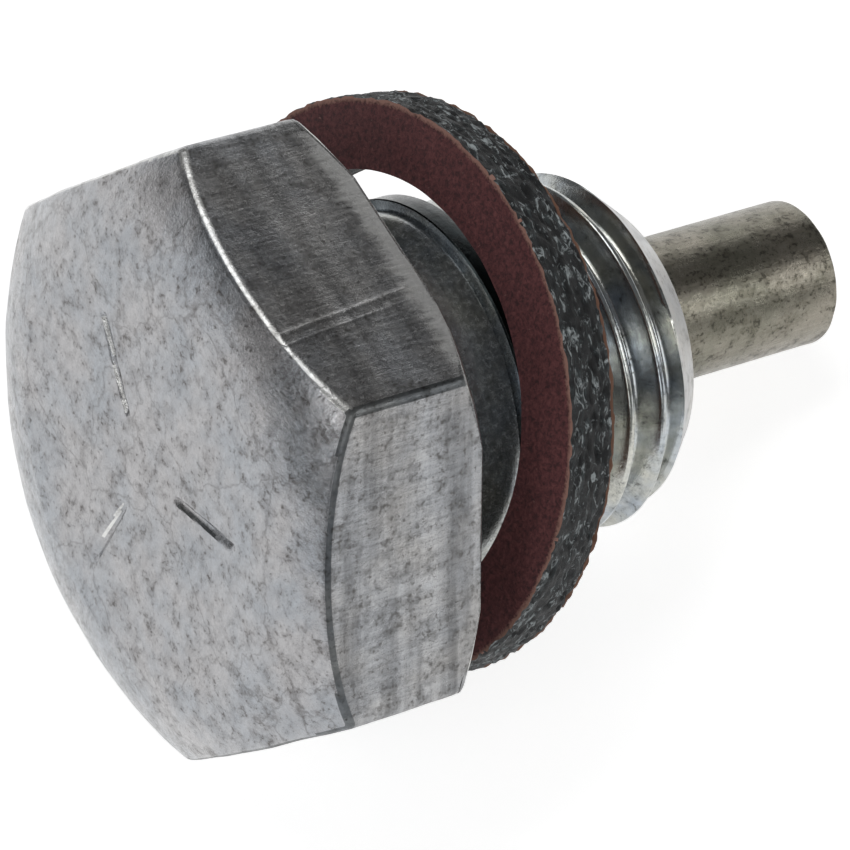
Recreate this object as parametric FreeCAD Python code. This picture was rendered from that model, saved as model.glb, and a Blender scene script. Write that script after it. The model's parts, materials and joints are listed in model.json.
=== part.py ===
import FreeCAD, Part
import math
import os

# Magnetic oil drain plug with its sealing ring, in millimetres
# A hexagon-head screw plug with a magnet rod let into its thread end. A loose
# sealing ring hangs on the shank. The plug can't stand, so it lies tipped on the
# rear edge of one flat of the head and on the end of its thread, and the ring
# leans against it with its rim on the same surface.
# The row's axes: +Z is up, +X runs along the plug from the head to the magnet as
# seen from above, and the origin is the middle of the footprint box, at the floor.
# Each turned form is drawn first along +X, with x = 0 at the underside of the head.

# Driving dimensions: head
ACROSS_FLATS = 22.0
HEAD_HEIGHT = 7.8
CORNER_ROUND = 0.4
CROWN_START_R = 7.6
CROWN_ARC_R = 7.8
REAR_EDGE_ROUND = 0.5
UNDERSIDE_MARGIN = 0.5
UNDERSIDE_BEVEL_DEG = 38.0

# Driving dimensions: shank and thread, the thread shown as its outer cylinder
THREAD_D = 14.0
COLLAR_D = 14.9
COLLAR_START = 3.2
COLLAR_END = 5.5
COLLAR_STEP_DEG = 60.0
RELIEF_D = 12.6
RELIEF_LENGTH = 1.5
RELIEF_EXIT_DEG = 45.0
FILLET_UNDER_HEAD = 0.4
THREAD_END = 11.9
SHANK_LENGTH = 13.6
SHANK_TIP_D = 11.0

# Driving dimensions: magnet
MAGNET_D = 5.84
MAGNET_STANDS_OUT = 9.2
MAGNET_DEPTH = 5.0
MAGNET_EDGE_BREAK = 0.25
MAGNET_GLUE_GAP = 0.03
MAGNET_OFF_CENTRE_Y = 0.40
MAGNET_OFF_CENTRE_Z = 0.22

# Driving dimensions: sealing ring
RING_BORE_PLAY = 2.92
RING_WALL = 2.73
RING_THICKNESS = 2.15
RING_HEAD_GAP = 0.08
RING_SHANK_GAP = 0.05
RING_SIDE_SHIFT = 0.11

# How finely the resting pose is worked out
SEARCH_STEPS = 30
BORE_STEP_DEG = 4

# Sizes that follow from the driving ones
FLAT_R = ACROSS_FLATS / 2.0
CORNER_R = FLAT_R / math.cos(math.radians(30.0))
UNDERSIDE_R = FLAT_R + UNDERSIDE_MARGIN
THREAD_R = THREAD_D / 2.0
COLLAR_R = COLLAR_D / 2.0
RELIEF_R = RELIEF_D / 2.0
TIP_R = SHANK_TIP_D / 2.0
MAGNET_R = MAGNET_D / 2.0
MAGNET_SEAT = SHANK_LENGTH - MAGNET_DEPTH
MAGNET_END = SHANK_LENGTH + MAGNET_STANDS_OUT
RING_BORE_R = (THREAD_D + RING_BORE_PLAY) / 2.0
RING_R = RING_BORE_R + RING_WALL

X_AXIS = FreeCAD.Vector(1.0, 0.0, 0.0)
Y_AXIS = FreeCAD.Vector(0.0, 1.0, 0.0)


def point(x, r):
    """A point of a turned profile: x along the plug, r out from its axis."""
    return FreeCAD.Vector(x, 0.0, r)


def turned(edges):
    """The solid of a closed profile turned once round the plug's axis."""
    face = Part.Face(Part.Wire(edges))
    return face.revolve(FreeCAD.Vector(), X_AXIS, 360.0)


def lines(points):
    """The straight edges through the points, in order."""
    return [Part.makeLine(a, b) for a, b in zip(points, points[1:])]


# Hexagon head: a prism with rounded corners and rear edge, one flat facing straight down
def hexagon_prism():
    corners = []
    for k in range(7):
        angle = math.radians(60.0 * k)
        y = CORNER_R * math.cos(angle)
        z = CORNER_R * math.sin(angle)
        corners.append(FreeCAD.Vector(-HEAD_HEIGHT, y, z))
    face = Part.Face(Part.makePolygon(corners))
    prism = face.extrude(X_AXIS * HEAD_HEIGHT)
    along = [e for e in prism.Edges if abs(e.tangentAt(e.FirstParameter).x) > 0.99]
    prism = prism.makeFillet(CORNER_ROUND, along)
    rear = [e for e in prism.Edges if e.BoundBox.XMin > -REAR_EDGE_ROUND]
    return prism.makeFillet(REAR_EDGE_ROUND, rear)


# Crown: the turned outline that domes the front face and bevels the rear corners
def crown_outline():
    reach = CORNER_R + 1.0
    across = reach - CROWN_START_R
    middle = across / 2.0
    front = -HEAD_HEIGHT
    drop_end = CROWN_ARC_R - math.sqrt(CROWN_ARC_R ** 2 - across ** 2)
    drop_mid = CROWN_ARC_R - math.sqrt(CROWN_ARC_R ** 2 - middle ** 2)
    start = point(front, CROWN_START_R)
    on_arc = point(front + drop_mid, CROWN_START_R + middle)
    outer = point(front + drop_end, reach)
    bevel = (reach - UNDERSIDE_R) * math.tan(math.radians(UNDERSIDE_BEVEL_DEG))
    edges = [Part.makeLine(point(front, 0.0), start)]
    edges.append(Part.Arc(start, on_arc, outer).toShape())
    edges += lines([outer, point(-bevel, reach), point(0.0, UNDERSIDE_R), point(0.0, 0.0)])
    edges.append(Part.makeLine(point(0.0, 0.0), point(front, 0.0)))
    return turned(edges)


# Shank: neck, collar, relief behind the thread, thread cylinder and end bevel
def shank():
    relief_end = COLLAR_END + RELIEF_LENGTH
    step = (COLLAR_R - THREAD_R) / math.tan(math.radians(COLLAR_STEP_DEG))
    exit_run = (THREAD_R - RELIEF_R) / math.tan(math.radians(RELIEF_EXIT_DEG))
    root = -HEAD_HEIGHT / 2.0
    f = FILLET_UNDER_HEAD
    f_mid = f * (1.0 - math.sqrt(0.5))
    foot = point(0.0, THREAD_R + f)
    foot_mid = point(f_mid, THREAD_R + f_mid)
    foot_end = point(f, THREAD_R)
    edges = lines([point(root, 0.0), point(root, THREAD_R + f), foot])
    edges.append(Part.Arc(foot, foot_mid, foot_end).toShape())
    outline = [
        foot_end,
        point(COLLAR_START, THREAD_R),
        point(COLLAR_START + step, COLLAR_R),
        point(COLLAR_END, COLLAR_R),
        point(COLLAR_END, RELIEF_R),
        point(relief_end, RELIEF_R),
        point(relief_end + exit_run, THREAD_R),
        point(THREAD_END, THREAD_R),
        point(SHANK_LENGTH, TIP_R),
        point(SHANK_LENGTH, 0.0),
        point(root, 0.0),
    ]
    edges += lines(outline)
    return turned(edges)


# Magnet: a round rod glued into a blind bore, a little off the plug's axis
def magnet_rod(radius, start, end, edge_break):
    base = FreeCAD.Vector(start, MAGNET_OFF_CENTRE_Y, MAGNET_OFF_CENTRE_Z)
    rod = Part.makeCylinder(radius, end - start, base, X_AXIS)
    if edge_break > 0.0:
        rim = [e for e in rod.Edges if e.BoundBox.XMin > end - edge_break]
        rod = rod.makeChamfer(edge_break, rim)
    return rod


# Sealing ring: a flat ring, drawn with its front face at x = 0
def flat_ring():
    outline = [
        point(0.0, RING_BORE_R),
        point(0.0, RING_R),
        point(RING_THICKNESS, RING_R),
        point(RING_THICKNESS, RING_BORE_R),
        point(0.0, RING_BORE_R),
    ]
    return turned(lines(outline))


# The plug at rest: it rolls over the rear edge of a flat until something meets the floor
def tip_onto(x, r):
    """The angle at which a point of the shank, at x and r, comes down to the floor."""
    run = x + REAR_EDGE_ROUND
    drop = FLAT_R - REAR_EDGE_ROUND - r
    return math.atan2(drop, run) + math.asin(REAR_EDGE_ROUND / math.hypot(run, drop))


def axis_height(tip):
    """The height of the axis over the floor, at the underside of the head."""
    over_edge = (FLAT_R - REAR_EDGE_ROUND) * math.cos(tip)
    return over_edge - REAR_EDGE_ROUND * math.sin(tip) + REAR_EDGE_ROUND


def plug_placement(tip):
    """The placement that tips the plug and stands it on the floor."""
    turn = FreeCAD.Rotation(Y_AXIS, math.degrees(tip))
    return FreeCAD.Placement(FreeCAD.Vector(0.0, 0.0, axis_height(tip)), turn)


# The ring at rest: its rim on the floor, close behind the head, leaning on the neck
def ring_placement(tip, lean):
    """The ring leaning back by this angle, its rim on the floor near the head."""
    height = RING_R * math.cos(lean) + RING_THICKNESS * math.sin(lean)
    turn = FreeCAD.Rotation(Y_AXIS, math.degrees(lean))
    rim = FreeCAD.Vector(-RING_R * math.sin(lean), 0.0, height - RING_R * math.cos(lean))
    along = rim.x * math.cos(tip) - (rim.z - axis_height(tip)) * math.sin(tip)
    forward = (RING_HEAD_GAP - along) / math.cos(tip)
    return FreeCAD.Placement(FreeCAD.Vector(forward, RING_SIDE_SHIFT, height), turn)


def neck_clearance(tip, lean):
    """The least space between the ring's bore and the neck of the plug."""
    to_plug = plug_placement(tip).inverse().multiply(ring_placement(tip, lean))
    least = RING_R
    for side in (0.0, RING_THICKNESS):
        for degree in range(0, 360, BORE_STEP_DEG):
            angle = math.radians(degree)
            y = RING_BORE_R * math.sin(angle)
            z = RING_BORE_R * math.cos(angle)
            p = to_plug.multVec(FreeCAD.Vector(side, y, z))
            reach = COLLAR_R if COLLAR_START < p.x < COLLAR_END else THREAD_R
            least = min(least, math.hypot(p.y, p.z) - reach)
    return least


def largest(clear, low, high):
    """The largest value up to high at which clear(value) still leaves the ring's gap."""
    if clear(high) >= RING_SHANK_GAP:
        return high
    for _ in range(SEARCH_STEPS):
        middle = (low + high) / 2.0
        if clear(middle) >= RING_SHANK_GAP:
            low = middle
        else:
            high = middle
    return low


# The thread's end, the magnet's end or the standing ring stops the plug first
tip_on_thread = tip_onto(THREAD_END, THREAD_R)
tip_on_magnet = tip_onto(MAGNET_END, MAGNET_R - MAGNET_OFF_CENTRE_Z)
lowest_tip = min(tip_on_thread, tip_on_magnet)
TIP = largest(lambda tip: neck_clearance(tip, 0.0), 0.0, lowest_tip)

# The widest the ring's section can stand under the neck is at this lean
STEEPEST = math.atan2(RING_THICKNESS, RING_WALL)
LEAN = largest(lambda lean: neck_clearance(TIP, lean), 0.0, STEEPEST)


# Build the three pieces
head = hexagon_prism().common(crown_outline())
plug_body = head.fuse(shank()).removeSplitter()
bore = magnet_rod(MAGNET_R + MAGNET_GLUE_GAP, MAGNET_SEAT, MAGNET_END, 0.0)
plug_body = plug_body.cut(bore)
magnet = magnet_rod(MAGNET_R, MAGNET_SEAT, MAGNET_END, MAGNET_EDGE_BREAK)
gasket = flat_ring()

# Lay them down as they come to rest
plug_body.Placement = plug_placement(TIP)
magnet.Placement = plug_placement(TIP)
gasket.Placement = ring_placement(TIP, LEAN)

# Set the origin under the middle of the whole
whole = Part.makeCompound([plug_body, magnet, gasket])
box = whole.optimalBoundingBox()
to_middle = FreeCAD.Vector(-(box.XMin + box.XMax) / 2.0, -(box.YMin + box.YMax) / 2.0, 0.0)
nodes = {"plug_body": plug_body, "magnet": magnet, "gasket": gasket}

os.makedirs("parts", exist_ok=True)
for name, shape in nodes.items():
    shape.translate(to_middle)
    solid = shape.Solids[0] if len(shape.Solids) == 1 else shape
    solid.exportStep("parts/" + name + ".step")
    print(name, len(shape.Solids), "solid", round(solid.Volume, 1), "mm3")

print("tip", round(math.degrees(TIP), 3), "axis height", round(axis_height(TIP), 4))
print("ring lean", round(math.degrees(LEAN), 3))
print("shift to the middle", round(to_middle.x, 4), round(to_middle.y, 4))
print("box", round(box.XLength, 3), round(box.YLength, 3), round(box.ZMin, 4), round(box.ZMax, 3))
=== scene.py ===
# %% [markdown]
# A magnetic oil drain plug lies on a pale table, tipped on one flat of its head and on the end of its
# thread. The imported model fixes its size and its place. This script keeps both, and gives the plug the
# forms and finishes that the plain solids don't have: worn edges, a cut thread, a frayed fibre ring.

# %% Load the frame
import bmesh
import bpy
import json
import math
from mathutils import Matrix, Vector, noise


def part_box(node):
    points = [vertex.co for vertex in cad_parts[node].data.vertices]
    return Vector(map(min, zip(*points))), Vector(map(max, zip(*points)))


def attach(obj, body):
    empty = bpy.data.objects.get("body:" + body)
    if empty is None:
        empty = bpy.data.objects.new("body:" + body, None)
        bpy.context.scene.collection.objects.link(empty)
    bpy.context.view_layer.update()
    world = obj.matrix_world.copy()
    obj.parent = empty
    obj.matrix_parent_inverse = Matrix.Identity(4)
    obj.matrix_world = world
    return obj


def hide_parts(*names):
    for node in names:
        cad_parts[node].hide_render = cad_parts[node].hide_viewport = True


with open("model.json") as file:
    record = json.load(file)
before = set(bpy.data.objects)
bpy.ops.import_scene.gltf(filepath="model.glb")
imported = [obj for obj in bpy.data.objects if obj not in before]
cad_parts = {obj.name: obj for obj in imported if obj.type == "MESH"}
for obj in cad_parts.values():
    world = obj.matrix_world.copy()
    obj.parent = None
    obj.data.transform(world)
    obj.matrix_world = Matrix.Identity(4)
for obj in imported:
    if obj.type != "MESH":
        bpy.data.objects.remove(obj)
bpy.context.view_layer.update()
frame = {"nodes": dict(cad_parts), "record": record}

print("nodes", sorted(frame["nodes"]))

# %% [markdown]
# Every turned form is easiest to draw along its own axis, in millimetres. It could be drawn there and the
# object turned afterwards, but the place of a finished piece belongs in its mesh. So the mounts of the
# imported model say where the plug's axis runs, the box of the ring says how far the ring leans, and one
# matrix for each carries a drawn mesh to its place.

# %% Places of the plug and of the ring
MILLIMETRE = 0.001
HEAD_HEIGHT = 7.8
SOLID_RING_R = 11.19
SOLID_RING_THICK = 2.15
RING_STANDS_STEEPER_DEG = 0.5

mounts = {m["name"]: m for m in frame["record"]["mounts"]}
axis = Vector(mounts["thread"]["axis"])
tip = math.atan2(-axis.z, axis.x)
underside = Vector(mounts["drive_hex"]["pos_m"]) + axis * HEAD_HEIGHT * MILLIMETRE
to_metres = Matrix.Scale(MILLIMETRE, 4)
plug_place = Matrix.Translation(underside) @ Matrix.Rotation(tip, 4, "Y") @ to_metres

low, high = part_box("gasket")
wide = (high.x - low.x) / MILLIMETRE
tall = (high.z - low.z) / MILLIMETRE
lean_sin = 2.0 * SOLID_RING_R * wide - SOLID_RING_THICK * tall
lean_cos = 2.0 * SOLID_RING_R * tall - SOLID_RING_THICK * wide
lean = math.atan2(lean_sin, lean_cos) - math.radians(RING_STANDS_STEEPER_DEG)
nearer_the_head = Vector((-0.15, -0.06, -0.035)) * MILLIMETRE
ring_middle = (low + high) / 2.0 + nearer_the_head
ring_place = Matrix.Translation(ring_middle) @ Matrix.Rotation(lean, 4, "Y") @ to_metres
print("tip", round(math.degrees(tip), 2), "lean", round(math.degrees(lean), 2))

# %% [markdown]
# Colours are written as the hex values that a paint program shows. Blender's shaders work in linear light,
# so one function turns the one into the other. Materials could be wired by hand in the editor, but a
# script repeats the same step many times, so one small function adds a node with its settings and links.

# %% Helpers for colours and nodes
def linear(hex_colour):
    """An sRGB hex colour as the linear RGBA that a shader expects."""
    out = []
    for k in (0, 2, 4):
        c = int(hex_colour[k:k + 2], 16) / 255.0
        out.append(c / 12.92 if c <= 0.04045 else ((c + 0.055) / 1.055) ** 2.4)
    return (*out, 1.0)


def node(tree, kind, values=None, links=None, stops=None, **settings):
    """Adds one node: its settings, socket values, incoming links, and the stops of a colour ramp."""
    made = tree.nodes.new(kind)
    for name, setting in settings.items():
        setattr(made, name, setting)
    for socket, value in (values or {}).items():
        made.inputs[socket].default_value = value
    for socket, source in (links or {}).items():
        tree.links.new(source, made.inputs[socket])
    for k, (place, colour) in enumerate(stops or []):
        bar = made.color_ramp.elements
        stop = bar[k] if k < 2 else bar.new(place)
        stop.position = place
        stop.color = linear(colour)
    return made


print("mid grey is", round(linear("808080")[0], 3), "in linear light")

# %% [markdown]
# A turned or forged form grows ring by ring. Extruding a closed ring of edges and moving its new points is
# the same step that a modeller does by hand with extrude and scale. A spin would do for the round parts,
# but not for a hexagon that runs into a round neck. Here a point keeps its side of the axis, so each ring
# needs only its x and its radius, and the ring may start as a hexagon and end as a circle.

# %% Helpers that grow a form from a ring of edges
def at(point, x, r):
    """The place at x and r on the same side of the axis as this point."""
    out = Vector((0.0, point.co.y, point.co.z)).normalized() * r
    out.x = x
    return out


def grow(bm, edges, place):
    """Extrudes a closed ring of edges and puts each new point where place says."""
    made = bmesh.ops.extrude_edge_only(bm, edges=edges)["geom"]
    points = {g for g in made if isinstance(g, bmesh.types.BMVert)}
    for p in points:
        p.co = place(p)
    return [g for g in made if isinstance(g, bmesh.types.BMEdge) and set(g.verts) <= points]


def grow_profile(bm, edges, profile):
    """Grows round rings through these (x, r) points, in order."""
    for x, r in profile:
        edges = grow(bm, edges, lambda p: at(p, x, r))
    return edges


print("helpers for turned forms ready")

# %% [markdown]
# Each piece ends the same way. Its doubles are merged and its normals recalculated, so that it is one
# closed skin that faces outwards. Its drawing in millimetres is kept as an attribute, and the materials
# read that. So a pattern follows the plug's own axis, however the plug lies on the table.

# %% Helpers that roughen and finish a piece
MERGE_MM = 0.0005
CREASE_DEG = 40.0


def roughen(bm, points, size, depth, seed):
    """Moves points in and out along their normals, in soft bumps of this size, both in mm."""
    bm.normal_update()
    for p in points:
        p.co += p.normal * depth * noise.noise(p.co / size + Vector((seed, 0.0, 0.0)))


def finish_piece(bm, name, place, materials, pick):
    """Closes the mesh, keeps its drawing in mm as an attribute, and carries it to its place."""
    bmesh.ops.remove_doubles(bm, verts=bm.verts, dist=MERGE_MM)
    bmesh.ops.recalc_face_normals(bm, faces=bm.faces)
    for face in bm.faces:
        face.smooth = True
        face.material_index = pick(face)
    open_edges = sum(1 for e in bm.edges if not e.is_manifold)
    mesh = bpy.data.meshes.new(name)
    bm.to_mesh(mesh)
    bm.free()
    drawn = mesh.attributes.new("drawn_mm", "FLOAT_VECTOR", "POINT")
    coordinates = [c for v in mesh.vertices for c in v.co]
    drawn.data.foreach_set("vector", coordinates)
    mesh.transform(place)
    mesh.set_sharp_from_angle(angle=math.radians(CREASE_DEG))
    for material in materials:
        mesh.materials.append(material)
    piece = bpy.data.objects.new(name, mesh)
    bpy.context.scene.collection.objects.link(piece)
    mesh.calc_loop_triangles()
    print(name, len(mesh.loop_triangles), "triangles,", open_edges, "open edges")
    return piece


print("faces that meet at more than", CREASE_DEG, "degrees keep a sharp edge")

# %% [markdown]
# The head and the shank are one cold forging in steel, plated with thin bright zinc. The plate mirrors the
# pale table and the dim room, so its tone comes mostly from what stands round it. Handling dulls it, and
# each mark has its own size. Noise gives them all: soft clouds, small stains, and streaks that are the same
# noise stretched along one way.

# %% Clouds, stains and streaks on zinc
CELLS_PER_MM = {"cloud": 0.3, "stain": 1.3, "grit": 5.2, "oxide": 4.0, "craze": 0.17, "craze_bends": 0.9}


def clouds_and_streaks(tree, drawn, tones, streaks):
    """Returns the colour and the height of clouds, stains and streaks, and the last two patterns."""
    cloud = node(tree, "ShaderNodeTexNoise", {"Scale": CELLS_PER_MM["cloud"], "Detail": 4.0, "Roughness": 0.6},
                 {"Vector": drawn})
    colour = node(tree, "ShaderNodeValToRGB", links={"Fac": cloud.outputs["Fac"]},
                  stops=[(0.38, tones[0]), (0.60, tones[1])])
    stain = node(tree, "ShaderNodeTexNoise", {"Scale": CELLS_PER_MM["stain"], "Detail": 9.0, "Roughness": 0.74},
                 {"Vector": drawn}).outputs["Fac"]
    stained = node(tree, "ShaderNodeValToRGB", links={"Fac": stain},
                   stops=[(0.47, "FFFFFF"), (0.70, tones[2])])
    colour = node(tree, "ShaderNodeMixRGB", {"Fac": 0.85}, {"Color1": colour.outputs["Color"],
                  "Color2": stained.outputs["Color"]}, blend_type="MULTIPLY")
    height = stain
    for cells, weight in streaks:
        spread = node(tree, "ShaderNodeMapping", {"Scale": cells}, {"Vector": drawn})
        streak = node(tree, "ShaderNodeTexNoise", {"Scale": 1.0, "Detail": 5.0, "Roughness": 0.62},
                      {"Vector": spread.outputs["Vector"]}).outputs["Fac"]
        streaked = node(tree, "ShaderNodeValToRGB", links={"Fac": streak},
                        stops=[(0.34, tones[3]), (0.60, "FFFFFF")])
        colour = node(tree, "ShaderNodeMixRGB", {"Fac": weight}, {"Color1": colour.outputs["Color"],
                      "Color2": streaked.outputs["Color"]}, blend_type="MULTIPLY")
        height = node(tree, "ShaderNodeMath", {}, {0: height, 1: streak}, operation="ADD").outputs["Value"]
    return colour.outputs["Color"], height, stain, streak


for mark, cells in CELLS_PER_MM.items():
    print(mark, "is about", round(1.0 / cells, 2), "mm wide")

# %% [markdown]
# Two marks don't lie everywhere. The forged face is crazed: its plate has cracked into thin dark lines.
# A Voronoi texture's distance to its cells' edges draws such a net, and noise bends its straight lines. The
# rear edge of the upper flat has been rubbed pale by handling. A sharp limit would look painted, so the
# place along the axis is mixed with the streaks and the stains, and the band ends in a ragged line.

# %% Crazing, and the rubbed band of a worn flat
CRAZE_BEND_MM = 1.6
CRAZE_LINE = (0.002, 0.011)
RUBBED_OXIDE = 0.62


def craze_lines(tree, drawn, grit, strength):
    """How dark the crazing is at each place: thin bent lines, broken up by the grit."""
    bends = node(tree, "ShaderNodeTexNoise", {"Scale": CELLS_PER_MM["craze_bends"], "Detail": 5.0},
                 {"Vector": drawn})
    bent = node(tree, "ShaderNodeVectorMath", {1: (CRAZE_BEND_MM, CRAZE_BEND_MM, CRAZE_BEND_MM)},
                {0: bends.outputs["Color"], 2: drawn}, operation="MULTIPLY_ADD")
    crack = node(tree, "ShaderNodeTexVoronoi", {"Scale": CELLS_PER_MM["craze"]},
                 {"Vector": bent.outputs["Vector"]}, feature="DISTANCE_TO_EDGE")
    line = node(tree, "ShaderNodeMapRange", {"From Min": CRAZE_LINE[0], "From Max": CRAZE_LINE[1],
                "To Min": strength, "To Max": 0.0}, {"Value": crack.outputs["Distance"]})
    return node(tree, "ShaderNodeMath", {}, {0: line.outputs["Result"], 1: grit},
                operation="MULTIPLY").outputs["Value"]


def rubbed_band(tree, drawn, streak, stain, worn_from):
    """How far the plate is rubbed at each place, from this x in mm to the rear edge at x = 0."""
    along = node(tree, "ShaderNodeSeparateXYZ", links={"Vector": drawn})
    streaked = node(tree, "ShaderNodeMath", {1: 1.4}, {0: streak, 2: along.outputs["X"]},
                    operation="MULTIPLY_ADD")
    ragged = node(tree, "ShaderNodeMath", {1: 1.8}, {0: stain, 2: streaked.outputs["Value"]},
                  operation="MULTIPLY_ADD")
    return node(tree, "ShaderNodeMapRange", {"From Min": worn_from + 1.35, "From Max": worn_from + 2.0,
                "To Max": RUBBED_OXIDE}, {"Value": ragged.outputs["Value"]}).outputs["Result"]


print("crazing runs in cells of about", round(1.0 / CELLS_PER_MM["craze"], 1), "mm")

# %% [markdown]
# Two more marks finish the recipe: dark grit where the stains are deepest, and a pale bloom of oxide. Oxide
# isn't metal. Where it lies, the surface scatters light and shows light specks on a flat that mirrors the
# dark room. A paler colour alone couldn't do that on a mirror, so the bloom lowers Metallic. All the
# patterns together give the bump its height, a few hundredths of a millimetre at most.

# %% Zinc plate over steel
GRIT_FADE = 0.07


def zinc(name, tones, streaks, bloom, dirt, roughness, relief_m, crazed=0.0, worn_from=None):
    """Zinc plate.

    tones are two cloud tones, then stain, streak, grit and oxide. A streak is its cells per mm along x, y
    and z, and its weight. bloom is the least and most oxide, dirt is where grit starts and how dark it is.
    """
    material = bpy.data.materials.new(name)
    material.use_nodes = True
    tree = material.node_tree
    shader = tree.nodes["Principled BSDF"]
    drawn = node(tree, "ShaderNodeAttribute", attribute_name="drawn_mm").outputs["Vector"]
    colour, height, stain, streak = clouds_and_streaks(tree, drawn, tones, streaks)
    grit = node(tree, "ShaderNodeTexNoise", {"Scale": CELLS_PER_MM["grit"], "Detail": 5.0, "Roughness": 0.78,
                "Distortion": 0.4}, {"Vector": drawn}).outputs["Fac"]
    crowd = node(tree, "ShaderNodeMath", {1: 0.7}, {0: stain, 2: grit}, operation="MULTIPLY_ADD")
    dirty = node(tree, "ShaderNodeMapRange", {"From Min": dirt[0], "From Max": dirt[0] + GRIT_FADE,
                 "To Max": dirt[1]}, {"Value": crowd.outputs["Value"]}).outputs["Result"]
    if crazed:
        cracks = craze_lines(tree, drawn, grit, crazed)
        dirty = node(tree, "ShaderNodeMath", {}, {0: dirty, 1: cracks}, operation="MAXIMUM").outputs["Value"]
    colour = node(tree, "ShaderNodeMixRGB", {"Color2": linear(tones[4])}, {"Fac": dirty, "Color1": colour})
    powder = node(tree, "ShaderNodeTexNoise", {"Scale": CELLS_PER_MM["oxide"], "Detail": 6.0,
                  "Roughness": 0.75}, {"Vector": drawn})
    oxide = node(tree, "ShaderNodeMapRange", {"From Min": 0.44, "From Max": 0.66, "To Min": bloom[0],
                 "To Max": bloom[1]}, {"Value": powder.outputs["Fac"]}).outputs["Result"]
    if worn_from is not None:
        rubbed = rubbed_band(tree, drawn, streak, stain, worn_from)
        oxide = node(tree, "ShaderNodeMath", {}, {0: oxide, 1: rubbed}, operation="MAXIMUM").outputs["Value"]
    colour = node(tree, "ShaderNodeMixRGB", {"Color2": linear(tones[5])},
                  {"Fac": oxide, "Color1": colour.outputs["Color"]})
    tree.links.new(colour.outputs["Color"], shader.inputs["Base Color"])
    metal = node(tree, "ShaderNodeMath", {0: 1.0}, {1: oxide}, operation="SUBTRACT")
    tree.links.new(metal.outputs["Value"], shader.inputs["Metallic"])
    rough = node(tree, "ShaderNodeMapRange", {"From Min": 0.35, "From Max": 0.65, "To Min": roughness[0],
                 "To Max": roughness[1]}, {"Value": stain})
    tree.links.new(rough.outputs["Result"], shader.inputs["Roughness"])
    height = node(tree, "ShaderNodeMath", {}, {0: height, 1: grit}, operation="ADD")
    bump = node(tree, "ShaderNodeBump", {"Strength": 0.5, "Distance": relief_m},
                {"Height": height.outputs["Value"]})
    tree.links.new(bump.outputs["Normal"], shader.inputs["Normal"])
    return material


print("zinc recipe ready")

# %% [markdown]
# The head shows five finishes of the same plate, and two of them carry painted light: a painted highlight on the
# burnished front edge, and a painted dark reflection on edges that would mirror a lamp. One recipe makes them
# all, so that they match where they meet, and only the tones and the amounts differ. Streaks across a flat have
# few cells per mm along the flat's width. Scratches are finer than a pixel on the real plug, so they are drawn as
# coarse as they need to show, about 0.2 mm wide.

# %% Zinc on the head
FORGED_TONES = ["9EA2A7", "ABAAAB", "9A9795", "B0AFB0", "46423F", "A2A2A4"]
DRAWN_TONES = ["ABADB0", "B3B2B1", "9A9998", "9A9A9A", "54524F", "AAABAC"]
WORN_TONES = ["ABADB0", "B3B2B1", "9A9998", "9A9A9A", "54524F", "BEBEBC"]
# Burnished wear on the front edge, made paler as a painted highlight.
BURNISHED_AND_HIGHLIGHT_TONES = ["CCCDCD", "D4D4D2", "C0BFBC", "BEBEBE", "6C6A66", "C8C8C6"]
# Painted dark reflection: dark tones for edges that would otherwise show a lamp's highlight.
PAINTED_DARK_EDGE_TONES = ["64686C", "747676", "8A8886", "8C8C8C", "2E2C2A", "606262"]

# Forged under a die: soft lilac clouds, a pale bloom and a few dark craze lines.
zinc_forged = zinc("zinc_plate_on_forged_face", FORGED_TONES, [((1.0, 2.6, 0.5), 0.25)], (0.03, 0.32),
                   (0.95, 0.75), (0.16, 0.28), 0.000028, crazed=0.8)
# Drawn bar, left as drawn: bands across the flat, faint scratches along it and small dark pits.
zinc_drawn = zinc("zinc_plate_on_drawn_flats", DRAWN_TONES, [((0.9, 0.05, 0.05), 0.8), ((0.22, 5.5, 5.5), 0.3)],
                  (-0.25, 0.42), (0.94, 0.7), (0.20, 0.32), 0.000028)
# The same bar with its rear edge rubbed by handling: a pale ragged band along that edge.
zinc_worn = zinc("zinc_plate_on_worn_flat", WORN_TONES, [((0.9, 0.05, 0.05), 0.8), ((0.6, 5.5, 5.5), 0.3)],
                 (-0.34, 0.33), (0.97, 0.6), (0.20, 0.32), 0.00004, worn_from=-1.15)
# Burnished by knocks and rubbing, and made paler still as a painted highlight: a bright line along a rounded
# edge.
zinc_burnished_and_highlit = zinc("zinc_plate_on_burnished_edge_with_painted_highlight", BURNISHED_AND_HIGHLIGHT_TONES, [((1.5, 1.5, 1.5), 0.4)], (-0.2, 0.2),
                   (1.0, 0.6), (0.2, 0.32), 0.00003)
# Painted dark reflection on edges that would otherwise mirror a lamp: a dark line along them.
zinc_painted_dark_edge = zinc("zinc_plate_with_painted_dark_edge", PAINTED_DARK_EDGE_TONES, [((0.8, 3.0, 3.0), 0.4)], (-0.1, 0.3),
                   (0.95, 0.7), (0.24, 0.4), 0.00003)
print("zinc on the head:", zinc_forged.name, zinc_drawn.name, zinc_worn.name)

# %% [markdown]
# The turned parts are cleaner and glossier than the head, with a bluish and yellowish tint from the
# passivation. Their streaks are fine rings, so they have many cells per mm along the axis and few round it.
# The end bevel is matt, as the tool left it, and the flange behind the ring is coloured nearly black as painted
# shade, where the ring shelters it.

# %% Zinc on the turned parts
TURNED_TONES = ["B2B9C0", "C2C2BA", "A2A5A6", "AEB2B4", "54544F", "A8ACAE"]
BEVEL_TONES = ["C4C6C8", "D0CECA", "B4B2AE", "C0C0C0", "77746E", "CACACA"]
# Painted shade: near-black tones for the flange in the ring's shadow.
PAINTED_FLANGE_SHADE_TONES = ["22282A", "343A3A", "8E8E8C", "9A9A9A", "101010", "2A2E30"]

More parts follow.
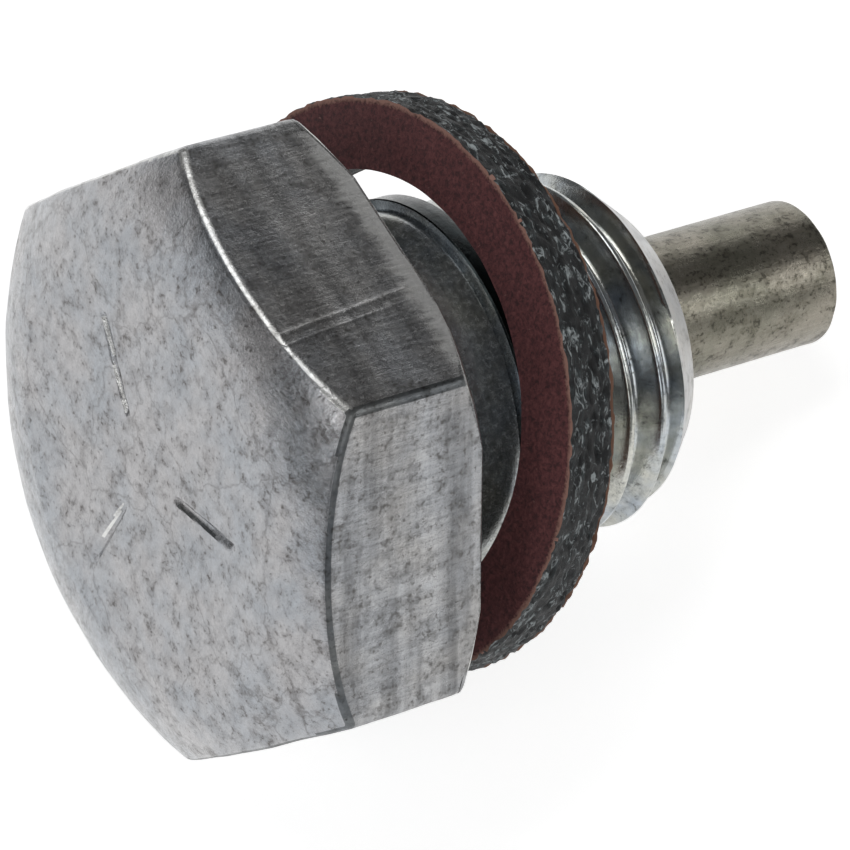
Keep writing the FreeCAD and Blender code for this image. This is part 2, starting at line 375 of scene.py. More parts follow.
# Turned on a lathe and handled since: a smooth grey sheen with a thin bloom.
zinc_turned = zinc("zinc_plate_on_turned_neck", TURNED_TONES, [((6.0, 0.12, 0.12), 0.25)], (0.12, 0.38),
                   (1.0, 0.7), (0.13, 0.22), 0.00001)
# Cut with a thread tool: the brightest zinc, with sharp light and dark bands along each turn.
zinc_cut = zinc("zinc_plate_on_cut_thread", TURNED_TONES, [((8.0, 0.2, 0.2), 0.25)], (-0.1, 0.16),
                (0.97, 0.7), (0.12, 0.22), 0.000012)
# Bevelled and left rough: a matt pale ring round the end of the thread.
zinc_bevel = zinc("zinc_plate_on_end_bevel", BEVEL_TONES, [((5.0, 0.3, 0.3), 0.3)], (0.15, 0.6),
                  (0.95, 0.6), (0.34, 0.5), 0.00003)
# Painted shade on the flange behind the ring: the plate coloured nearly black, still a little glossy.
zinc_painted_flange_shade = zinc("zinc_plate_with_painted_flange_shade", PAINTED_FLANGE_SHADE_TONES, [((2.0, 0.5, 0.5), 0.4)], (-0.1, 0.1),
                  (1.0, 0.7), (0.16, 0.3), 0.00002)
print("zinc on the turned parts:", zinc_turned.name, zinc_cut.name, zinc_bevel.name, zinc_painted_flange_shade.name)

# %% [markdown]
# The head starts as a hexagon whose corners are rounded by a vertex bevel. Its front is a turned cut: flat
# in the middle, then a straight bevel, then an arc. The cut could be made with a boolean, but that leaves
# ragged edges. Instead each point remembers how far out it stands, and its height follows from that one
# number, so the cut meets the flats in the arcs that turning gives. The rear corners are cut back alike.

# %% Head outline
ACROSS_FLATS = 22.0
CORNER_ROUND = 0.4
FLAT_CUTS = 52
CROWN_START_R = 7.6
CROWN_ARC_R = 7.8
CROWN_CREASE_R = 9.0
UNDERSIDE_R = 11.5
UNDERSIDE_SLOPE = math.tan(math.radians(38.0))


def crown_x(r):
    """How far forward the front of the head is at this radius: flat, a straight bevel, then an arc."""
    past = max(r, CROWN_CREASE_R) - CROWN_START_R
    arc_height = math.sqrt(CROWN_ARC_R ** 2 - past ** 2)
    back = CROWN_ARC_R - arc_height
    back -= max(0.0, CROWN_CREASE_R - r) * past / arc_height
    return -HEAD_HEIGHT + max(0.0, back)


def rear_x(r):
    """How far back the underside of the head is at this radius."""
    return -max(0.0, r - UNDERSIDE_R) * UNDERSIDE_SLOPE


bm = bmesh.new()
outline = bm.verts.layers.float.new("outline")
bmesh.ops.create_circle(bm, cap_ends=True, segments=6, radius=ACROSS_FLATS / math.sqrt(3.0))
bmesh.ops.rotate(bm, verts=bm.verts, cent=(0, 0, 0), matrix=Matrix.Rotation(-math.pi / 2.0, 3, "Y"))
bmesh.ops.bevel(bm, geom=bm.verts[:], offset=CORNER_ROUND * math.tan(math.pi / 6.0), segments=5,
                profile=0.5, affect="VERTICES", material=-1)
bmesh.ops.delete(bm, geom=bm.faces[:], context="FACES_ONLY")
sides = [e for e in bm.edges if e.calc_length() > 1.0]
bmesh.ops.subdivide_edges(bm, edges=sides, cuts=FLAT_CUTS)
print("outline points", len(bm.verts), "and the corners stand back",
      round(HEAD_HEIGHT + crown_x(ACROSS_FLATS / math.sqrt(3.0)), 2), "mm")

# %% [markdown]
# The upper flat carries two thin raised lines, where the steel folded over in the forging die. They are
# finer than the spacing of the outline's points. Cutting the whole head finer would cost many faces, so
# the nearest points are gathered round the fold instead, and the lines are raised later.

# %% Points gathered for the fold on the upper flat
FOLD_Y = -2.45
FOLD_STEPS = [-0.5, -0.36, -0.29, -0.25, -0.21, -0.14, 0.0, 0.14, 0.21, 0.25, 0.29, 0.36, 0.5]
UPPER_FLAT_Z = 10.9

near_fold = sorted((p for p in bm.verts if p.co.z > UPPER_FLAT_Z), key=lambda p: abs(p.co.y - FOLD_Y))
near_fold = sorted(near_fold[:len(FOLD_STEPS)], key=lambda p: p.co.y)
for p, step in zip(near_fold, FOLD_STEPS):
    p.co.y = FOLD_Y + step
for p in bm.verts:
    p[outline] = math.hypot(p.co.y, p.co.z)
    p.co.x = crown_x(p[outline])
rim = bm.edges[:]
print(len(near_fold), "points gathered at y", FOLD_Y)

# %% [markdown]
# The rings grow both ways from the front edge. First they grow inwards, over the dome to the middle of the
# face. The rings lie closer together where the bevel meets the flat face, because the light turns there.

# %% Domed face of the head
FACE_R = 8.45
FACE_EDGE = [(-7.785, 8.37), (-7.796, 8.27), (-HEAD_HEIGHT, 8.15)]
FACE_RINGS = 48
INNER_R = 8.0


def mixed(a, b, share):
    """The value that lies this share of the way from a to b."""
    return a + (b - a) * share


ring = rim
for share in [0.1 + 0.9 * k / 26 for k in range(27)]:
    ring = grow(bm, ring, lambda p: at(p, crown_x(mixed(p[outline], FACE_R, share)),
                                       mixed(p[outline], FACE_R, share)))
ring = grow_profile(bm, ring, FACE_EDGE)
ring = grow_profile(bm, ring, [(-HEAD_HEIGHT, INNER_R * (1.0 - k / FACE_RINGS)) for k in range(FACE_RINGS + 1)])
print("face points", len(bm.verts))

# %% [markdown]
# Then the rings grow back along the flats and under the head. The flats that face up are worn at their
# rear edge, so they sink a little over the last 1.4 mm, in a soft bend and then a slope. The flat that
# the plug stands on keeps its full size, so the plug doesn't sink into the table.

# %% Flats and underside of the head
WORN_WIDTH = 1.4
WORN_DROP = 0.2
WORN_BEND = 0.2
WHOLE_BELOW_Z = -8.0
WEAR_FADES_OVER = 7.0
FOOT_R = 7.4


def worn(point, x):
    """How far the rear edge has sunk at this place. The upper flats are worn, the one below is whole."""
    share = min(1.0, max(0.0, (x + WORN_WIDTH) / WORN_WIDTH))
    sunk = share ** 2 / (2.0 * WORN_BEND) if share < WORN_BEND else share - WORN_BEND / 2.0
    exposed = min(1.0, max(0.0, (point.co.z - WHOLE_BELOW_Z) / WEAR_FADES_OVER))
    return WORN_DROP * exposed * sunk


def on_flat(point, share):
    """The place on a flat at this share of the way from its front edge to its rear edge."""
    x = mixed(crown_x(point[outline]), rear_x(point[outline]), share)
    return at(point, x, point[outline] - worn(point, x))


def on_underside(point, share):
    """The place on the underside at this share of the way from the rear edge to the foot of the neck."""
    start = point[outline] - worn(point, 0.0)
    return at(point, rear_x(mixed(point[outline], FOOT_R, share)), mixed(start, FOOT_R, share))


ring = rim
for share in [0.05 + 0.75 * k / 13 for k in range(14)] + [0.82 + 0.02 * k for k in range(8)] + [0.98, 1.0]:
    ring = grow(bm, ring, lambda p: on_flat(p, share))
rear = ring
for share in [0.16 + 0.84 * k / 9 for k in range(10)]:
    ring = grow(bm, ring, lambda p: on_underside(p, share))
print("head points", len(bm.verts))

# %% [markdown]
# Behind the head the form is round: a neck that widens softly, a scored line, the flange that the ring
# seals on, and the relief groove where the thread begins. Each is a list of (x, radius) points, as a turner
# would note them. The last points close the skin inside the thread, where it can't be seen.

# %% Neck, flange and relief groove
THREAD_R = 7.0
COLLAR_R = 7.25
FLANGE_R = 7.62
RELIEF_R = 6.3
FOOT_ROUND = 0.4

foot = [(FOOT_ROUND - FOOT_ROUND * math.cos(t), FOOT_R - FOOT_ROUND * math.sin(t))
        for t in (0.4, 0.8, 1.2, math.pi / 2)]
neck = [(0.8, THREAD_R), (1.4, THREAD_R), (2.0, THREAD_R), (2.5, THREAD_R + 0.02), (3.0, THREAD_R + 0.07)]
collar = [(3.4, COLLAR_R - 0.09), (3.8, COLLAR_R - 0.03), (4.1, COLLAR_R), (4.2, COLLAR_R)]
scored = [(4.24, COLLAR_R - 0.08), (4.32, COLLAR_R - 0.3), (4.38, COLLAR_R - 0.1), (4.42, FLANGE_R - 0.04)]
flange = [(4.48, FLANGE_R), (4.54, FLANGE_R - 0.05), (4.9, FLANGE_R - 0.04), (5.34, FLANGE_R - 0.03),
          (5.44, FLANGE_R - 0.08), (5.5, FLANGE_R - 0.22)]
groove = [(5.52, 6.5), (5.62, 6.34), (5.8, RELIEF_R), (6.4, RELIEF_R)]
root = [(6.93, RELIEF_R), (6.98, 6.0), (7.0, 4.0), (7.01, 0.0)]
ring = grow_profile(bm, ring, foot + neck + collar + scored + flange + groove + root)
print("head and neck points", len(bm.verts))

# %% [markdown]
# No forged edge is a knife edge. The two long edges of the head get their rounding last, with an edge
# bevel, because a bevel needs the faces on both sides of an edge.

# %% Rounded edges of the head
FRONT_EDGE_ROUND = 0.2
REAR_EDGE_ROUND = 0.2
bmesh.ops.bevel(bm, geom=rear, offset=REAR_EDGE_ROUND, segments=5, profile=0.5, affect="EDGES",
                material=-1)
bmesh.ops.bevel(bm, geom=rim, offset=FRONT_EDGE_ROUND, segments=3, profile=0.5, affect="EDGES",
                material=-1)
bmesh.ops.remove_doubles(bm, verts=bm.verts, dist=MERGE_MM)
bmesh.ops.recalc_face_normals(bm, faces=bm.faces)
print("head points with rounded edges", len(bm.verts))

# %% [markdown]
# The die has pressed three plain strokes into the face. They could be a bump map, but real dips catch the
# light from every side. So each point near a stroke is pushed in, most on the stroke's middle line.

# %% Strokes pressed into the face
STROKE_HALF_WIDTH = 0.2
STROKE_DEPTH = 0.17
STROKES = [(35.0, 2.4, 6.0), (155.0, 2.4, 6.0), (275.0, 2.4, 6.0)]
STROKES_WITHIN_R = 10.8
STROKES_BEHIND_FRONT = 0.5

pressed = 0
for p in bm.verts:
    spot = Vector((p.co.y, p.co.z))
    if p.co.x > -HEAD_HEIGHT + STROKES_BEHIND_FRONT or spot.length >= STROKES_WITHIN_R:
        continue
    for turn, start, end in STROKES:
        way = Vector((math.cos(math.radians(turn)), math.sin(math.radians(turn))))
        along = min(max(spot.dot(way), start), end)
        gap = (spot - way * along).length
        dip = STROKE_DEPTH * max(0.0, 1.0 - (gap / STROKE_HALF_WIDTH) ** 2)
        p.co.x += dip
        pressed += dip > 0.0
print("stroke points", pressed)

# %% [markdown]
# The folds are raised by a bell curve across each of their two lines, and they run a little aslant, as the
# steel flowed. Last, the whole head gets two sizes of soft unevenness, a few hundredths of a millimetre
# deep, because a forged surface is never quite true and a perfect one looks drawn.

# %% Folds and unevenness of the forging
FOLD_SLANT = 0.077
FOLD_HEIGHTS = {-0.25: 0.02, 0.25: 0.036}
FOLD_WIDTH = 0.05
FOLD_ENDS = (-6.8, -0.9)
FOLD_REACH = 0.55
FOLD_TURNS_AT_X = -4.0
FOLD_ABOVE_Z = 10.5
SWELLS = (2.6, 0.05, 3.0)
GRAIN = (0.7, 0.012, 9.0)

head_points = [p for p in bm.verts if p.co.x < FOLD_ENDS[1]]
for p in head_points:
    from_fold = p.co.y - FOLD_Y
    if p.co.z > FOLD_ABOVE_Z and abs(from_fold) < FOLD_REACH and p.co.x > FOLD_ENDS[0]:
        p.co.y += (p.co.x - FOLD_TURNS_AT_X) * FOLD_SLANT
        for line, rise in FOLD_HEIGHTS.items():
            p.co.z += rise * math.exp(-((from_fold - line) / FOLD_WIDTH) ** 2)
roughen(bm, head_points, *SWELLS)
roughen(bm, head_points, *GRAIN)
print("uneven points", len(head_points))

# %% [markdown]
# One skin shows seven finishes. The plug could be cut into pieces along their limits, but a real forging
# has no such seams. Each face picks its finish from where it lies and which way it faces instead.

# %% Finishes of the head's faces
FLANGE_ENDS = (4.44, 5.52)
TOP_CORNER = Vector((-math.sin(math.radians(30.0)), math.cos(math.radians(30.0))))


def head_finish(face):
    """Picks a finish: 0 forged, 1 drawn flat, 2 turned, 3 worn flat, 4 burnished edge with painted highlight, 5
    painted dark edge, 6 painted flange shade.
    """
    middle = face.calc_center_median()
    out = Vector((middle.y, middle.z)).normalized()
    forward = -face.normal.x
    # The flange behind the ring gets painted shade.
    if FLANGE_ENDS[0] < middle.x < FLANGE_ENDS[1]:
        return 6
    if middle.x > -0.02 or abs(forward) > 0.5 and middle.x > -2.0:
        return 2
    # The front edge's rounding: painted highlight over burnished wear, with a painted dark reflection on one
    # side.
    if 0.12 < forward < 0.72 and middle.x < -4.0:
        return 5 if out.x < -0.49 else 4
    if forward > 0.25:
        return 0
    # The upper corner edge gets a painted dark reflection.
    if out.dot(TOP_CORNER) > 0.9998 and abs(forward) < 0.2:
        return 5
    return 3 if face.normal.z > 0.8 else 1


plug_head = finish_piece(bm, "plug_head_and_neck", plug_place,
                         [zinc_forged, zinc_drawn, zinc_turned, zinc_worn, zinc_burnished_and_highlit, zinc_painted_dark_edge,
                          zinc_painted_flange_shade], head_finish)

# %% [markdown]
# The thread is M14 with a pitch of 1.5 mm, right-handed. It could be stacked rings, but then it wouldn't
# climb, and an eye follows a thread along its turns. So one pitch of its profile is drawn as a row of
# points and swept round the axis, moving on by a pitch each turn, so that neighbouring turns meet.

# %% Thread by a screw sweep
PITCH = 1.5
STEPS_A_TURN = 120
TURNS = 7
THREAD_START = 6.95
THREAD_PHASE = -0.6
half_profile = [(0.75, 6.08), (0.69, 6.085), (0.62, 6.12), (0.56, 6.2), (0.47, 6.35), (0.38, 6.5),
                (0.29, 6.66), (0.2, 6.81), (0.13, 6.93), (0.09, 6.985), (0.045, 7.0)]

bm = bmesh.new()
profile = [(-x, r) for x, r in half_profile] + [(x, r) for x, r in reversed(half_profile)]
row = [bm.verts.new((x + THREAD_START - PITCH + THREAD_PHASE, 0.0, r)) for x, r in profile]
row_edges = [bm.edges.new(pair) for pair in zip(row, row[1:])]
bmesh.ops.spin(bm, geom=row + row_edges, cent=(0, 0, 0), axis=(1, 0, 0), dvec=(PITCH / STEPS_A_TURN, 0, 0),
               angle=math.tau * TURNS, steps=STEPS_A_TURN * TURNS, use_merge=False,
               use_normal_flip=False, use_duplicate=False)
bmesh.ops.remove_doubles(bm, verts=bm.verts, dist=0.002)
print("swept points", len(bm.verts))

# %% [markdown]
# A real thread is cut on a turned blank, so its turns can't stand out past the blank: they run in from the
# groove and fade out over the end bevel. Holding each point down to the blank's radius does the same, and
# two plane cuts take off the turns that are left over.

# %% Thread trimmed to its blank
THREAD_END = 11.9
SHANK_END = 13.6
SHANK_TIP_R = 5.5
CLEAR_OF_GROOVE = 0.01


def shank_limit(x):
    """The radius of the turned blank that the thread was cut on."""
    run_in = RELIEF_R + CLEAR_OF_GROOVE + max(0.0, x - 7.0)
    bevel = THREAD_R - (x - THREAD_END) * (THREAD_R - SHANK_TIP_R) / (SHANK_END - THREAD_END)
    return min(run_in, bevel, THREAD_R)


for p in bm.verts:
    r = math.hypot(p.co.y, p.co.z)
    p.co = at(p, p.co.x, min(r, shank_limit(p.co.x)))
for x, way in ((THREAD_START, -1.0), (SHANK_END, 1.0)):
    bmesh.ops.bisect_plane(bm, geom=bm.verts[:] + bm.edges[:] + bm.faces[:], dist=0.0001,
                           plane_co=(x, 0, 0), plane_no=(way, 0, 0), clear_outer=True)
print("thread points", len(bm.verts))

# %% [markdown]
# The magnet sits in a blind bore that was drilled a little off the middle. Both open ends of the thread are
# closed by growing their edges inwards, and at the front the rings move over from the plug's middle to the
# bore's, so that the end face runs into the bore without a seam.

# %% End face, with the bore for the magnet
MAGNET_R = 2.92
MAGNET_Y = 0.40
MAGNET_Z = 0.22
BORE_R = MAGNET_R + 0.04
BORE_SHOWS_TO = 12.5


def on_bore(point, x, r):
    """The place at x and r round the bore's own middle, on the same side of it as this point."""
    middle = Vector((0.0, MAGNET_Y, MAGNET_Z))
    out = Vector((0.0, point.co.y, point.co.z)) - middle
    out = out.normalized() * r + middle
    out.x = x
    return out


def thread_finish(face):
    """Picks the finish of a face of the thread: 0 cut, 1 the matt bevel and end face."""
    return 1 if face.calc_center_median().x > THREAD_END - 0.1 and face.normal.x > 0.3 else 0


open_ends = [e for e in bm.edges if e.is_boundary]
back = [e for e in open_ends if e.verts[0].co.x < THREAD_START + 1.0]
front = [e for e in open_ends if e.verts[0].co.x > SHANK_END - 1.0]
grow_profile(bm, back, [(THREAD_START + 0.05, 4.0), (THREAD_START + 0.06, 0.0)])
ring = grow_profile(bm, front, [(SHANK_END, 5.4), (SHANK_END, 5.0), (SHANK_END, 4.4)])
for x, r in [(SHANK_END, 3.4), (SHANK_END, BORE_R + 0.1), (SHANK_END - 0.08, BORE_R),
             (BORE_SHOWS_TO + 0.1, BORE_R), (BORE_SHOWS_TO, 0.0)]:
    ring = grow(bm, ring, lambda p: on_bore(p, x, r))
plug_thread = finish_piece(bm, "plug_thread", plug_place, [zinc_cut, zinc_bevel], thread_finish)

# %% [markdown]
# The magnet is a ground rod of dull alloy. It has no plating, so it is darker and warmer than the zinc,
# but it weathers in the same ways, so the same recipe makes it from other tones: fine lines of grinding
# along the rod, dark specks of old oil, and a rougher sheen.

# %% Ground magnet alloy
MAGNET_TONES = ["7E7C70", "948F84", "A09C90", "B4B0A4", "3C3A34", "7A7870"]
# Ground alloy: olive grey with a soft shine that runs along the rod in bands.
magnet_alloy = zinc("ground_magnet_alloy", MAGNET_TONES, [((0.5, 5.0, 5.0), 0.3)], (0.0, 0.12),
                    (0.92, 0.7), (0.24, 0.36), 0.000025)
print("magnet finish", magnet_alloy.name)

# %% [markdown]
# The rod is a plain turned form, so a full spin of its outline is the shortest way to it. Its end edge is
# rounded and slightly chipped: the points near the end are moved in and out by noise.

# %% Magnet rod by a spin
MAGNET_ROOT = 12.3
MAGNET_END = 22.8
END_ROUND = 0.1
RING_SPACING = 0.3
CHIPS = (0.8, 0.03, 4.0)

bm = bmesh.new()
body_points = [(MAGNET_ROOT, 0.0), (MAGNET_ROOT, 2.0)]
body_points += [(MAGNET_ROOT + RING_SPACING * k, MAGNET_R) for k in range(34)]
end_points = [(MAGNET_END - END_ROUND + END_ROUND * math.sin(t), MAGNET_R - END_ROUND + END_ROUND * math.cos(t))
              for t in (0.0, 0.4, 0.8, 1.2, math.pi / 2.0)]
face_rings = [(MAGNET_END, r) for r in (2.4, 2.0, 1.6, 1.2, 0.8, 0.4, 0.0)]
row = [bm.verts.new((x, 0.0, r)) for x, r in body_points + end_points + face_rings]
row_edges = [bm.edges.new(pair) for pair in zip(row, row[1:])]
bmesh.ops.spin(bm, geom=row + row_edges, cent=(0, 0, 0), axis=(1, 0, 0), angle=math.tau, steps=120,
               use_merge=True, use_normal_flip=False, use_duplicate=False)
bmesh.ops.remove_doubles(bm, verts=bm.verts, dist=MERGE_MM)
bmesh.ops.recalc_face_normals(bm, faces=bm.faces)
roughen(bm, [p for p in bm.verts if p.co.x > MAGNET_END - 0.5], *CHIPS)
bmesh.ops.translate(bm, verts=bm.verts, vec=(0.0, MAGNET_Y, MAGNET_Z))
magnet_rod = finish_piece(bm, "magnet_rod", plug_place, [magnet_alloy], lambda face: 0)

# %% [markdown]
# The sealing ring is cut from bonded fibre sheet: matt maroon faces over a black core. Fibre has no gloss
# of its own and no metal in it, so it gets a recipe apart from the zinc: strands and flecks, which are
# noise with other amounts of stretch, and for a face also the pale frayed edge where the die cut through.

# %% Recipe for bonded fibre
RING_OUTER_R = 11.12
RING_BORE_R = 8.34
RING_THICK = 2.12
FRAYED_FROM = RING_OUTER_R - 0.02
FRAYED_TO = RING_OUTER_R + 0.14


def frayed_edge(tree, drawn, strand):
    """How frayed a face is at each place: near the outer edge only, with a line that the strands break."""
    across = node(tree, "ShaderNodeVectorMath", {1: (0.0, 1.0, 1.0)}, {0: drawn}, operation="MULTIPLY")
    radius = node(tree, "ShaderNodeVectorMath", {}, {0: across.outputs["Vector"]}, operation="LENGTH")
    ragged = node(tree, "ShaderNodeMath", {1: 0.5}, {0: strand, 2: radius.outputs["Value"]},
                  operation="MULTIPLY_ADD")
    return node(tree, "ShaderNodeMapRange", {"From Min": FRAYED_FROM, "From Max": FRAYED_TO},
                {"Value": ragged.outputs["Value"]}).outputs["Result"]


def fibre(name, tones, cells, fleck_cells, fleck_range, roughness, relief_m, frayed_tone=None):
    """Bonded fibre. cells and fleck_cells are per mm along the plug and across it, for strands and flecks."""
    material = bpy.data.materials.new(name)
    material.use_nodes = True
    tree = material.node_tree
    shader = tree.nodes["Principled BSDF"]
    shader.inputs["Roughness"].default_value = roughness
    drawn = node(tree, "ShaderNodeAttribute", attribute_name="drawn_mm").outputs["Vector"]
    spread = node(tree, "ShaderNodeMapping", {"Scale": cells}, {"Vector": drawn})
    strand = node(tree, "ShaderNodeTexNoise", {"Scale": 1.0, "Detail": 7.0, "Roughness": 0.72, "Distortion": 0.6},
                  {"Vector": spread.outputs["Vector"]}).outputs["Fac"]
    base = node(tree, "ShaderNodeValToRGB", links={"Fac": strand},
                stops=[(0.38, tones[0]), (0.66, tones[2]), (0.52, tones[1])])
    scatter = node(tree, "ShaderNodeMapping", {"Scale": fleck_cells}, {"Vector": drawn})
    fleck = node(tree, "ShaderNodeTexNoise", {"Scale": 1.0, "Detail": 4.0, "Roughness": 0.7, "Distortion": 1.2},
                 {"Vector": scatter.outputs["Vector"]})
    flecked = node(tree, "ShaderNodeMapRange", {"From Min": fleck_range[0], "From Max": fleck_range[1]},
                   {"Value": fleck.outputs["Fac"]})
    coloured = node(tree, "ShaderNodeMixRGB", {"Color2": linear(tones[3])},
                    {"Fac": flecked.outputs["Result"], "Color1": base.outputs["Color"]})
    if frayed_tone:
        coloured = node(tree, "ShaderNodeMixRGB", {"Color2": linear(frayed_tone)},
                        {"Fac": frayed_edge(tree, drawn, strand), "Color1": coloured.outputs["Color"]})
    tree.links.new(coloured.outputs["Color"], shader.inputs["Base Color"])
    bump = node(tree, "ShaderNodeBump", {"Strength": 0.8, "Distance": relief_m}, {"Height": strand})
    tree.links.new(bump.outputs["Normal"], shader.inputs["Normal"])
    return material


print("fibre recipe ready")

# %% [markdown]
# The two faces are pressed skins with a fine even grain of a sixth of a millimetre. The cut rim shows the
# core instead: ragged black strands, longer round the rim than across it, with pale flecks of broken fibre.

# %% Fibre finishes of the ring
# Pressed maroon skin: matt, nearly plain, with a pinkish line where its edge frays.
maroon_face = fibre("maroon_fibre_face", ["381C1E", "5C3133", "764444", "8E6C66"], (6.0, 6.0, 6.0),
                    (4.0, 4.0, 4.0), (0.66, 0.74), 0.75, 0.00003, frayed_tone="9A7468")
# Torn black core: coarse black strands with pale flecks, and a slight sheen from the binder.
black_core = fibre("black_fibre_core", ["060708", "131618", "3C4446", "B8C0C2"], (4.4, 1.5, 1.5),
                   (3.4, 1.5, 1.5), (0.55, 0.67), 0.55, 0.0002)
# Pressed brown skin of the far face: matt, with a coarser grain than the maroon one.
brown_back = fibre("brown_fibre_back", ["3A2620", "5C3E34", "72503F", "8E7264"], (3.0, 3.0, 3.0),
                   (7.0, 7.0, 7.0), (0.62, 0.72), 0.75, 0.00003, frayed_tone="72503F")
print("fibre finishes made")

# %% [markdown]
# The ring is a square section spun round its axis. A plain torus would look new. This rim has been torn by
# the cutting die, so its points sink by noise that is stretched round the rim, deep enough to show in the
# outline, and the whole ring is a little wavy.

# %% Fibre ring by a spin
RING_STEPS = 520
SECTION_CUTS = 19
TEAR_CELLS_PER_MM = Vector((3.6, 1.3, 1.3))
TEAR_DEPTH = 0.2
FINE_TEAR_DEPTH = 0.14
FINE_TEARS = 2.1
WAVES = (1.4, 0.03, 7.0)

bm = bmesh.new()
corners = [(0.0, RING_BORE_R), (0.0, RING_OUTER_R), (RING_THICK, RING_OUTER_R), (RING_THICK, RING_BORE_R)]
row = [bm.verts.new((x - RING_THICK / 2.0, 0.0, r)) for x, r in corners]
row_edges = [bm.edges.new((row[k], row[(k + 1) % 4])) for k in range(4)]
bmesh.ops.subdivide_edges(bm, edges=row_edges, cuts=SECTION_CUTS)
bmesh.ops.spin(bm, geom=bm.verts[:] + bm.edges[:], cent=(0, 0, 0), axis=(1, 0, 0), angle=math.tau,
               steps=RING_STEPS, use_merge=True, use_normal_flip=False, use_duplicate=False)
bmesh.ops.recalc_face_normals(bm, faces=bm.faces)
rim_points = [p for p in bm.verts if math.hypot(p.co.y, p.co.z) > RING_OUTER_R - 0.05]
for p in rim_points:
    streak = p.co * TEAR_CELLS_PER_MM
    dip = abs(noise.noise(streak)) * TEAR_DEPTH
    dip += max(0.0, noise.noise(streak * FINE_TEARS)) * FINE_TEAR_DEPTH
    p.co = at(p, p.co.x, RING_OUTER_R - dip)
roughen(bm, bm.verts, *WAVES)
print("torn rim points", len(rim_points))

# %% [markdown]
# The layers of the ring are bonded into one sheet, so they are one mesh here too, and each face picks its
# layer from its place along the axis.

# %% Finishes of the ring's faces
MAROON_SKIN = 0.1
BROWN_SKIN = 0.14


def fibre_finish(face):
    """Picks the finish of a face of the ring: 0 maroon faces, 1 the cut core, 2 the brown back skin."""
    middle = face.calc_center_median()
    if middle.x > RING_THICK / 2.0 - BROWN_SKIN:
        return 2
    return 0 if middle.x < -RING_THICK / 2.0 + MAROON_SKIN and abs(face.normal.x) > 0.6 else 1


fibre_ring = finish_piece(bm, "fibre_sealing_ring", ring_place, [maroon_face, black_core, brown_back],
                          fibre_finish)

# %% [markdown]
# Nothing on a drain plug moves, so every piece rides on the one body, root. The head and the thread
# together stand for the plug's solid, and the magnet and the ring each for their own.

# %% Tie the pieces to the frame
for piece, cad_node, slot in ((plug_head, "plug_body", "zinc_plated_steel"),
                              (plug_thread, "plug_body", "zinc_plated_steel"),
                              (magnet_rod, "magnet", "magnet_alloy"),
                              (fibre_ring, "gasket", "fibre_ring")):
    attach(piece, "root")
    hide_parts(cad_node)
    print(piece.name, "stands for", cad_node)

# %% [markdown]
# The table is a pale sheet. Stronger lamps could turn it white, but they would bleach the plug as well. So
# the sheet itself shows white to the camera and in the metal's reflections, through the kind of ray that
# meets it, and it still takes the soft shadow of the plug.

# %% Table
TABLE_R = 2.5
TABLE_GLOW = 0.7

bm = bmesh.new()
bmesh.ops.create_circle(bm, cap_ends=True, segments=64, radius=TABLE_R)
mesh = bpy.data.meshes.new("table")
bm.to_mesh(mesh)
bm.free()
table = bpy.data.objects.new("table", mesh)
bpy.context.scene.collection.objects.link(table)

sheet = bpy.data.materials.new("white_table_sheet")
sheet.use_nodes = True
tree = sheet.node_tree
shader = tree.nodes["Principled BSDF"]
shader.inputs["Base Color"].default_value = linear("E6E6E6")
shader.inputs["Roughness"].default_value = 0.9
path = node(tree, "ShaderNodeLightPath")
seen = node(tree, "ShaderNodeMath", links={0: path.outputs["Is Camera Ray"], 1: path.outputs["Is Glossy Ray"]},
            operation="ADD")
seen = node(tree, "ShaderNodeMath", links={0: seen.outputs["Value"], 1: path.outputs["Is Transmission Ray"]},
            operation="ADD", use_clamp=True)
glow = node(tree, "ShaderNodeMath", {1: TABLE_GLOW}, {0: seen.outputs["Value"]}, operation="MULTIPLY")
tree.links.new(glow.outputs["Value"], shader.inputs["Emission Strength"])
shader.inputs["Emission Color"].default_value = (1.0, 1.0, 1.0, 1.0)
mesh.materials.append(sheet)
print("table", round(2.0 * TABLE_R, 1), "m across")

# %% [markdown]
# Polished metal shows what stands round it, so the lamps are also its picture. One big lamp would give
# every face the same tone. Five small soft panels, with a plain dim grey room between them, let each face
# take its own even tone: a light line where it mirrors a panel, and dark where it mirrors the room.

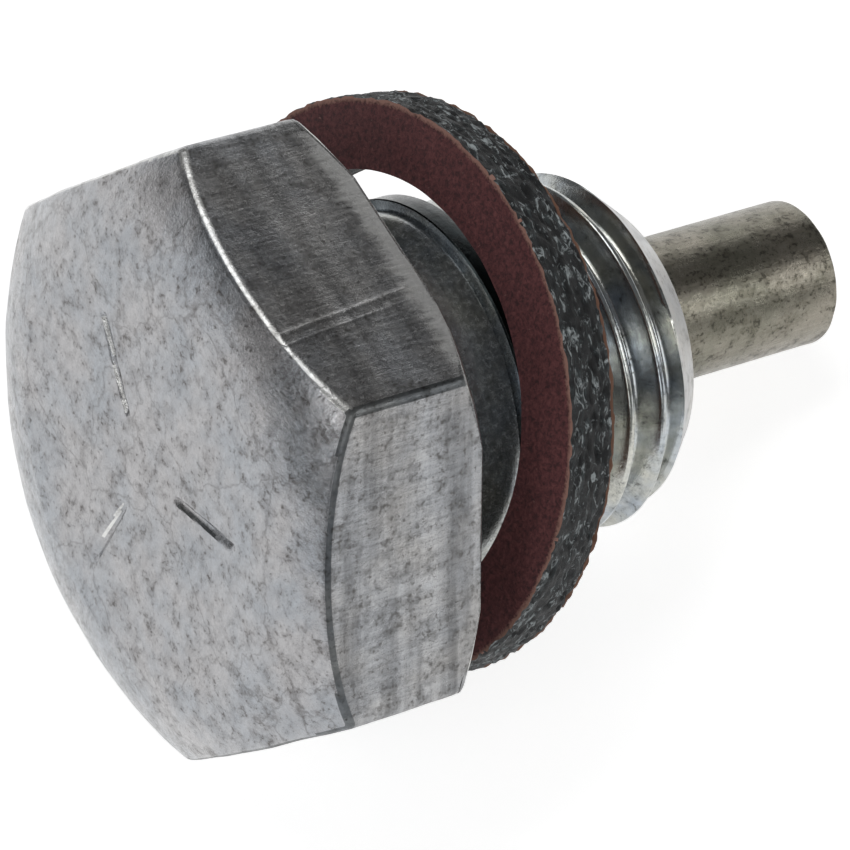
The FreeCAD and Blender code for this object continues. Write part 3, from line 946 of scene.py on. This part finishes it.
# %% Room and lamps
PANEL_DISTANCE = 0.7
ROOM_GREY = "6A6A6A"

world = bpy.data.worlds.new("studio")
bpy.context.scene.world = world
world.use_nodes = True
world.node_tree.nodes["Background"].inputs["Color"].default_value = linear(ROOM_GREY)
world.node_tree.nodes["Background"].inputs["Strength"].default_value = 1.0


def panel(name, way, size, brightness):
    """A square soft panel that faces the plug from this way. brightness is how bright it looks."""
    lamp = bpy.data.lights.new(name, "AREA")
    lamp.shape = "SQUARE"
    lamp.size = size
    lamp.energy = brightness * math.pi * size * size
    holder = bpy.data.objects.new(name, lamp)
    way = Vector(way).normalized()
    holder.location = way * PANEL_DISTANCE
    holder.rotation_euler = way.to_track_quat("Z", "Y").to_euler()
    bpy.context.scene.collection.objects.link(holder)
    print(name, "gives", round(lamp.energy, 2), "W")


panel("right_panel", (0.75, -0.52, 0.41), 0.30, 2.6)
panel("top_panel", (-0.12, 0.45, 0.88), 0.42, 2.6)
panel("front_panel", (-0.80, -0.12, 0.58), 0.26, 2.4)
panel("left_panel", (-0.30, -0.95, 0.75), 0.45, 1.4)
panel("back_panel", (0.63, 0.75, 0.21), 0.27, 1.2)

# %% [markdown]
# The camera stands where the photographer's did. It could be aimed by eye, but its place and its turn were
# worked out from the hexagon's corners and the rings of the shank, so they are given as they came out: the
# three ways that it holds as right, up and back. It stands well back with a long lens, as for a catalogue.

# %% Camera
camera = bpy.data.cameras.new("camera")
camera.lens = 261.36
camera.sensor_width = 36.0
camera.clip_start = 0.01
viewer = bpy.data.objects.new("camera", camera)
right = Vector((0.87018, -0.49209, 0.02499))
up = Vector((0.41649, 0.76169, 0.49635))
back_way = Vector((-0.26329, -0.42150, 0.86776))
turn = Matrix((right, up, back_way)).transposed().to_4x4()
viewer.matrix_world = Matrix.Translation((-0.06388, -0.09997, 0.21196)) @ turn
bpy.context.scene.collection.objects.link(viewer)
bpy.context.scene.camera = viewer
bpy.context.scene.view_settings.view_transform = "Standard"
print("camera looks down at", round(math.degrees(math.asin(back_way.z)), 1), "degrees")
